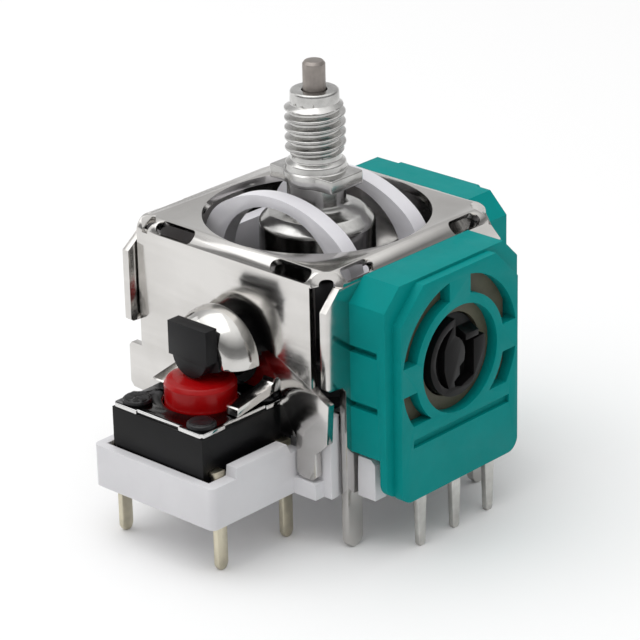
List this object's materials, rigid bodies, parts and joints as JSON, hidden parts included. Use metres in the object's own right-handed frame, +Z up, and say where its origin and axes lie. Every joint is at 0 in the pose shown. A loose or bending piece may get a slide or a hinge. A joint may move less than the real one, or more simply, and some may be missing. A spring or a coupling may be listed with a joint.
{
  "type": "controller analog stick module",
  "caption": "Two-axis thumb joystick module: sprung stick in crossed yokes under a pressed steel frame, side potentiometers and a push switch, for a circuit board.",
  "frame": {"origin": "on the stick's axis, at the level of the base's underside, which is the face of the circuit board", "axes": "+Z up along the stick, -Y towards the push switch, +X towards the potentiometer that reads the tilt of the upper yoke; the other potentiometer is on +Y"},
  "size_m": [0.0162, 0.0209, 0.022],
  "materials": {
    "frame_steel": "bright nickel-plated sheet with faint rolling lines",
    "base_white": "satin moulded",
    "stud_steel": "turned, nickel-plated",
    "pin_steel": "dull",
    "pivot_steel": "ground",
    "yoke_white": "smooth, slightly translucent",
    "yoke_black": "satin",
    "hood_chrome": "bright",
    "seat_black": "satin",
    "spring_wire": "drawn wire",
    "pot_green": "satin moulded",
    "wafer_brown": "laminate",
    "tin": "tin-plated",
    "rotor_black": "satin",
    "wiper_bronze": "bright spring strip",
    "switch_black": "satin moulded",
    "cover_steel": "bright, dark from its surroundings",
    "button_red": "gloss",
    "contact_silver": "silver-plated",
    "tin_gold": "tin-plated, slightly yellow"
  },
  "bodies": {
    "housing": {"top_frame": "frame_steel", "base": "base_white", "return_spring": "spring_wire", "pot_x_case": "pot_green", "pot_x_wafer": "wafer_brown", "pot_x_terminals": "tin", "pot_y_case": "pot_green", "pot_y_wafer": "wafer_brown", "pot_y_terminals": "tin", "switch_body": "switch_black", "switch_cover": "cover_steel", "switch_dome": "contact_silver", "switch_contacts": "contact_silver", "switch_terminals": "tin_gold"},
    "rotor_y": {"pot_y_rotor": "rotor_black", "pot_y_wiper": "wiper_bronze"},
    "yoke_y": {"lower_yoke": "yoke_black", "axle_hood": "hood_chrome"},
    "stick": {"stick": "stud_steel", "centre_pin": "pin_steel", "pivot_pin": "pivot_steel"},
    "yoke_x": {"upper_yoke": "yoke_white", "pot_x_rotor": "rotor_black", "pot_x_wiper": "wiper_bronze"},
    "button": {"switch_button": "button_red"},
    "seat": {"spring_seat": "seat_black"}
  },
  "joints": [
    {"name": "tilt_x", "type": "hinge", "parent": "housing", "child": "rotor_y", "pos_m": [0, 0, 0.0064], "axis": [0, 1, 0], "range_deg": [-18, 18], "stiffness_Nm_per_rad": 0.02},
    {"name": "press", "type": "hinge", "parent": "rotor_y", "child": "yoke_y", "pos_m": [0, 0.00685, 0.0064], "axis": [1, 0, 0], "range_deg": [0, 0.94], "stiffness_Nm_per_rad": 2.5},
    {"name": "tilt_y", "type": "hinge", "parent": "yoke_y", "child": "stick", "pos_m": [0, 0, 0.0064], "axis": [1, 0, 0], "range_deg": [-18, 18], "stiffness_Nm_per_rad": 0.02},
    {"name": "yoke_x_swing", "type": "hinge", "parent": "housing", "child": "yoke_x", "pos_m": [0, 0, 0.0064], "axis": [1, 0, 0], "range_deg": [-18, 18]},
    {"name": "button_press", "type": "slide", "parent": "housing", "child": "button", "axis": [0, 0, 1], "range_m": [-0.00025, 0], "deforming": ["switch_dome"]},
    {"name": "seat_slide", "type": "slide", "parent": "housing", "child": "seat", "axis": [0, 0, 1], "range_m": [-0.0006, 0], "stiffness_N_per_m": 800, "deforming": ["return_spring"]}
  ],
  "couplings": [
    {"joint": "yoke_x_swing", "follows": "tilt_y", "ratio": 1},
    {"joint": "button_press", "follows": "press", "m_per_rad": -0.01524}
  ]
}
